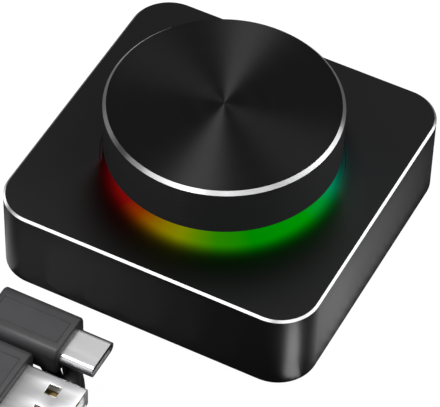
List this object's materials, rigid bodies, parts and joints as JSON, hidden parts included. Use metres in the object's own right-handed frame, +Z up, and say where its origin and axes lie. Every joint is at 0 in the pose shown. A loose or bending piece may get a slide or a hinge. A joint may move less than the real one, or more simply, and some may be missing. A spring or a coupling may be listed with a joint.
{
  "type": "usb volume control knob",
  "caption": "Desk-top volume knob: square metal housing, round knob that turns without end and presses down, a ring of coloured light round its foot, a USB-C socket and a tied lead.",
  "frame": {"origin": "middle of the square base, on the surface that its feet stand on; the loose lead is left out of it", "axes": "+Z up along the knob's axis, +Y towards the USB socket at the back, -Y the front side, +X to the right seen from the front"},
  "size_m": [0.13, 0.113, 0.032],
  "materials": {
    "anodised_black": "black anodised aluminium, fine bead-blasted satin, with bright cut edges",
    "spun_black": "black anodised aluminium, spun in fine rings on top, with a bright cut bevel",
    "plate_plastic": "moulded black plastic, fine grain",
    "foot_rubber": "soft black rubber",
    "screw_steel": "zinc plated steel",
    "light_smoked": "smoked light-spreading plastic, lit from below",
    "board_black": "circuit board with dark solder mask",
    "led_white": "white lamp package with a clear window",
    "chip_black": "moulded black chip package",
    "pin_tin": "tinned copper",
    "crystal_can": "metal can",
    "capacitor_tan": "tan ceramic with tinned ends",
    "socket_steel": "folded stainless sheet",
    "tongue_black": "moulded black plastic",
    "contact_gold": "gold plated",
    "encoder_plastic": "moulded black plastic",
    "encoder_zinc": "die-cast zinc",
    "nut_steel": "nickel plated steel",
    "rotor_plastic": "moulded cream plastic",
    "spring_steel": "thin spring steel",
    "shaft_steel": "turned steel",
    "hub_plastic": "moulded black plastic",
    "cable_jacket": "soft satin black cable jacket",
    "tie_black": "soft black band",
    "plug_plastic": "moulded satin black plastic",
    "plug_shell": "bright plated sheet",
    "plug_tongue": "moulded white plastic"
  },
  "bodies": {
    "base": {"housing": "anodised_black", "bottom_plate": "plate_plastic", "bottom_screws": "screw_steel", "foot_1": "foot_rubber", "foot_2": "foot_rubber", "foot_3": "foot_rubber", "foot_4": "foot_rubber", "light_guide": "light_smoked", "main_board": "board_black", "board_screws": "screw_steel", "led_1": "led_white", "led_2": "led_white", "led_3": "led_white", "led_4": "led_white", "led_5": "led_white", "led_6": "led_white", "led_7": "led_white", "led_8": "led_white", "controller_chip": "chip_black", "controller_pins": "pin_tin", "crystal": "crystal_can", "voltage_regulator": "chip_black", "capacitors": "capacitor_tan", "resistors": "chip_black", "usb_socket_shell": "socket_steel", "usb_socket_tongue": "tongue_black", "usb_socket_contacts": "contact_gold", "encoder_base": "encoder_plastic", "encoder_bushing": "encoder_zinc", "encoder_frame": "socket_steel", "encoder_washer": "nut_steel", "encoder_nut": "nut_steel", "encoder_terminals": "pin_tin", "encoder_detent_spring": "spring_steel", "encoder_switch_dome": "spring_steel", "cable_hank": "cable_jacket", "cable_tie": "tie_black", "cable_tail_usb_c": "cable_jacket", "cable_tail_usb_a": "cable_jacket", "usb_c_plug_shell": "plug_shell", "usb_c_plug_insert": "tongue_black", "usb_c_plug_body": "plug_plastic", "usb_a_plug_shell": "plug_shell", "usb_a_plug_tongue": "plug_tongue", "usb_a_plug_contacts": "contact_gold", "usb_a_plug_body": "plug_plastic"},
    "press": {"encoder_plunger": "rotor_plastic"},
    "knob": {"knob_cap": "spun_black", "knob_hub": "hub_plastic", "encoder_shaft": "shaft_steel"},
    "rotor": {"encoder_rotor": "rotor_plastic"}
  },
  "joints": [
    {"name": "knob_press", "type": "slide", "parent": "base", "child": "press", "axis": [0, 0, -1], "range_m": [0, 0.0005], "stiffness_N_per_m": 3000, "springref_m": -0.001, "deforming": ["encoder_switch_dome"]},
    {"name": "knob_spin", "type": "hinge", "parent": "press", "child": "knob", "pos_m": [0, 0, 0.0298], "axis": [0, 0, 1], "continuous": true},
    {"name": "rotor_spin", "type": "hinge", "parent": "base", "child": "rotor", "pos_m": [0, 0, 0.012], "axis": [0, 0, 1], "continuous": true}
  ],
  "couplings": [
    {"joint": "rotor_spin", "follows": "knob_spin", "ratio": 1}
  ]
}
